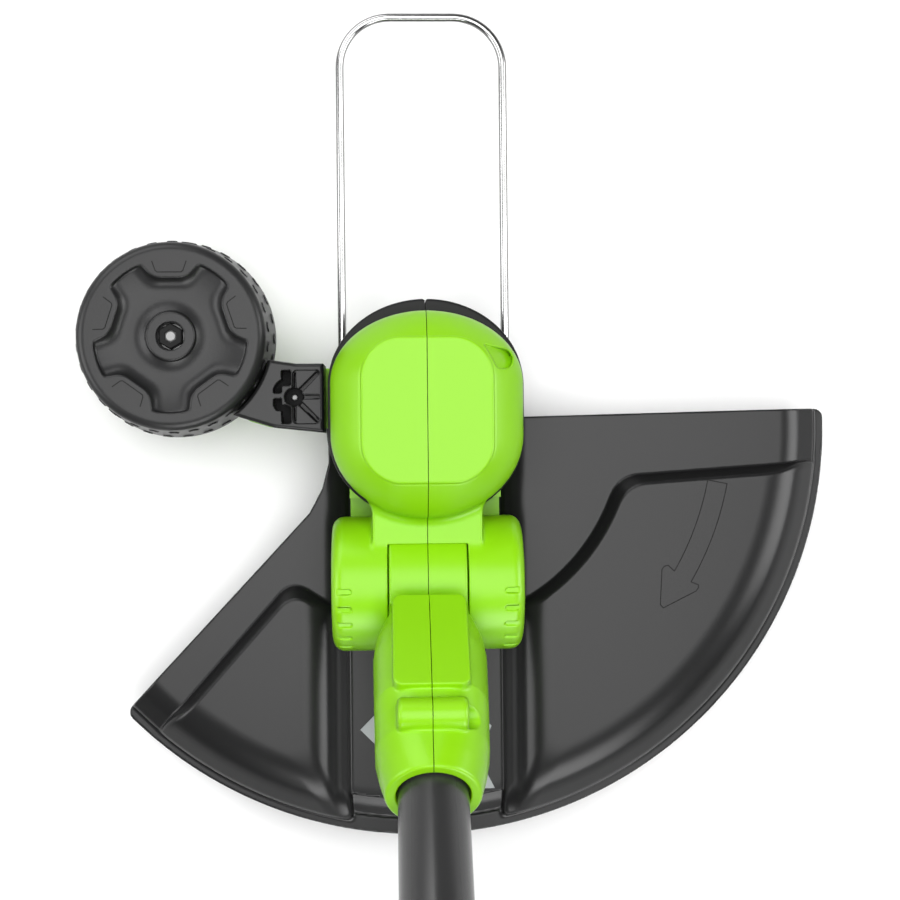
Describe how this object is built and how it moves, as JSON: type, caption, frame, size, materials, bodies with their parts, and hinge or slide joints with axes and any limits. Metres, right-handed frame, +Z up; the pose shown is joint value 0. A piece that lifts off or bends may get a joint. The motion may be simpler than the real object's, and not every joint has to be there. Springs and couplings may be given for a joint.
{
  "type": "cordless string trimmer",
  "caption": "Cordless string trimmer: tilting motor head with spool, part-ring guard, wire plant guard and edging wheel, on a telescopic tube with two handles and a battery.",
  "frame": {"origin": "centre of the bump cap's bottom face, on the motor axis, where the head rests on the ground", "axes": "+Z up along the motor axis, +Y forward away from the user, +X to the user's right along the head's tilt axis"},
  "size_m": [0.3026, 1.0517, 0.9879],
  "materials": {
    "green_plastic": "satin moulded plastic, lime green",
    "dark_plastic": "fine-textured moulded plastic, dark grey",
    "tube_paint": "satin powder coat, dark grey",
    "steel": "zinc-plated",
    "polished_wire": "polished",
    "label": "matt silver-white film",
    "reel_plastic": "satin",
    "nylon_line": "translucent nylon",
    "black_plastic": "matt",
    "circuit_board": "lacquered",
    "grip_rubber": "soft overmould"
  },
  "bodies": {
    "head": {"motor_housing_left": "green_plastic", "motor_housing_right": "green_plastic", "pivot_yoke_left": "green_plastic", "pivot_yoke_right": "green_plastic", "bumper_left": "dark_plastic", "bumper_right": "dark_plastic", "housing_base": "green_plastic", "housing_screws": "steel", "motor_can": "steel", "motor_bearing": "steel", "guard": "dark_plastic", "guard_screws": "steel", "line_blade": "steel", "label_plate": "label", "wheel_bracket": "green_plastic", "wheel_arm": "dark_plastic", "arm_screws": "steel", "axle_bolt": "steel", "axle_sleeve": "steel", "axle_nut": "steel", "pivot_bolt": "steel", "pivot_nut": "steel", "pivot_spring": "steel"},
    "pivot_button": {"pivot_button": "dark_plastic"},
    "spool": {"motor_shaft": "steel", "spool_housing": "dark_plastic", "spool_cover": "dark_plastic", "line_reel": "reel_plastic", "eyelets": "steel", "cutting_line": "nylon_line", "bump_spring": "steel"},
    "bump": {"bump_cap": "dark_plastic"},
    "wheel": {"wheel_hub": "dark_plastic", "wheel_tyre": "dark_plastic"},
    "plant_guard": {"plant_guard_wire": "polished_wire"},
    "shaft": {"coupling_left": "green_plastic", "coupling_right": "green_plastic", "coupling_screws": "steel", "lower_tube": "tube_paint", "shaft_cable": "black_plastic"},
    "collar": {"lock_collar": "dark_plastic", "lever_pin": "steel"},
    "lock_lever": {"lock_lever": "green_plastic"},
    "handle": {"upper_tube": "tube_paint", "front_handle_clamp": "dark_plastic", "clamp_bolt": "steel", "rear_handle_left": "green_plastic", "rear_handle_right": "green_plastic", "handle_screws": "steel", "power_switch": "black_plastic", "controller_board": "circuit_board", "terminal_block": "black_plastic", "trigger_pin": "steel"},
    "front_handle": {"front_handle": "dark_plastic", "front_grip": "grip_rubber"},
    "clamp_knob": {"clamp_knob": "green_plastic"},
    "trigger": {"trigger": "dark_plastic"},
    "lock_off": {"lock_off_button": "green_plastic"},
    "battery": {"battery": "dark_plastic"},
    "battery_latch": {"battery_latch": "green_plastic"}
  },
  "joints": [
    {"name": "head_tilt", "type": "hinge", "parent": "head", "child": "shaft", "pos_m": [0, -0.0605, 0.068], "axis": [1, 0, 0], "range_deg": [-30, 35]},
    {"name": "spool_spin", "type": "hinge", "parent": "head", "child": "spool", "pos_m": [0, 0, 0.02], "axis": [0, 0, 1], "continuous": true},
    {"name": "bump_press", "type": "slide", "parent": "spool", "child": "bump", "axis": [0, 0, 1], "range_m": [0, 0.004], "stiffness_N_per_m": 4000, "springref_m": -0.004, "deforming": ["bump_spring"]},
    {"name": "wheel_spin", "type": "hinge", "parent": "head", "child": "wheel", "pos_m": [-0.098, 0.036, 0.06], "axis": [0, 0, 1], "continuous": true},
    {"name": "plant_guard_slide", "type": "slide", "parent": "head", "child": "plant_guard", "axis": [0, 1, 0], "range_m": [-0.045, 0]},
    {"name": "pivot_button_press", "type": "slide", "parent": "head", "child": "pivot_button", "axis": [1, 0, 0], "range_m": [0, 0.003], "stiffness_N_per_m": 1200, "springref_m": -0.002, "deforming": ["pivot_spring"]},
    {"name": "telescope", "type": "slide", "parent": "shaft", "child": "collar", "axis": [0, -0.6521, 0.7581], "range_m": [0, 0.15]},
    {"name": "shaft_twist", "type": "hinge", "parent": "collar", "child": "handle", "pos_m": [0, -0.38655, 0.44707], "axis": [0, -0.6521, 0.7581], "range_deg": [0, 180]},
    {"name": "lock_lever_flip", "type": "hinge", "parent": "collar", "child": "lock_lever", "pos_m": [0, -0.40159, 0.42622], "axis": [-1, 0, 0], "range_deg": [0, 100]},
    {"name": "front_handle_tilt", "type": "hinge", "parent": "handle", "child": "front_handle", "pos_m": [0, -0.4551, 0.57277], "axis": [1, 0, 0], "range_deg": [-45, 30]},
    {"name": "clamp_knob_turn", "type": "hinge", "parent": "handle", "child": "clamp_knob", "pos_m": [0.038, -0.4551, 0.57277], "axis": [1, 0, 0], "continuous": true},
    {"name": "trigger_squeeze", "type": "hinge", "parent": "handle", "child": "trigger", "pos_m": [0, -0.70605, 0.80011], "axis": [-1, 0, 0], "range_deg": [0, 12], "stiffness_Nm_per_rad": 1, "springref_deg": -8.59},
    {"name": "lock_off_press", "type": "slide", "parent": "handle", "child": "lock_off", "axis": [0, -0.7581, -0.6521], "range_m": [0, 0.004], "stiffness_N_per_m": 500, "springref_m": -0.002},
    {"name": "battery_slide", "type": "slide", "parent": "handle", "child": "battery", "axis": [0, 0.7581, 0.6521], "range_m": [0, 0.104]},
    {"name": "battery_latch_press", "type": "slide", "parent": "battery", "child": "battery_latch", "axis": [0, -0.7581, -0.6521], "range_m": [0, 0.003], "stiffness_N_per_m": 800, "springref_m": -0.002}
  ]
}
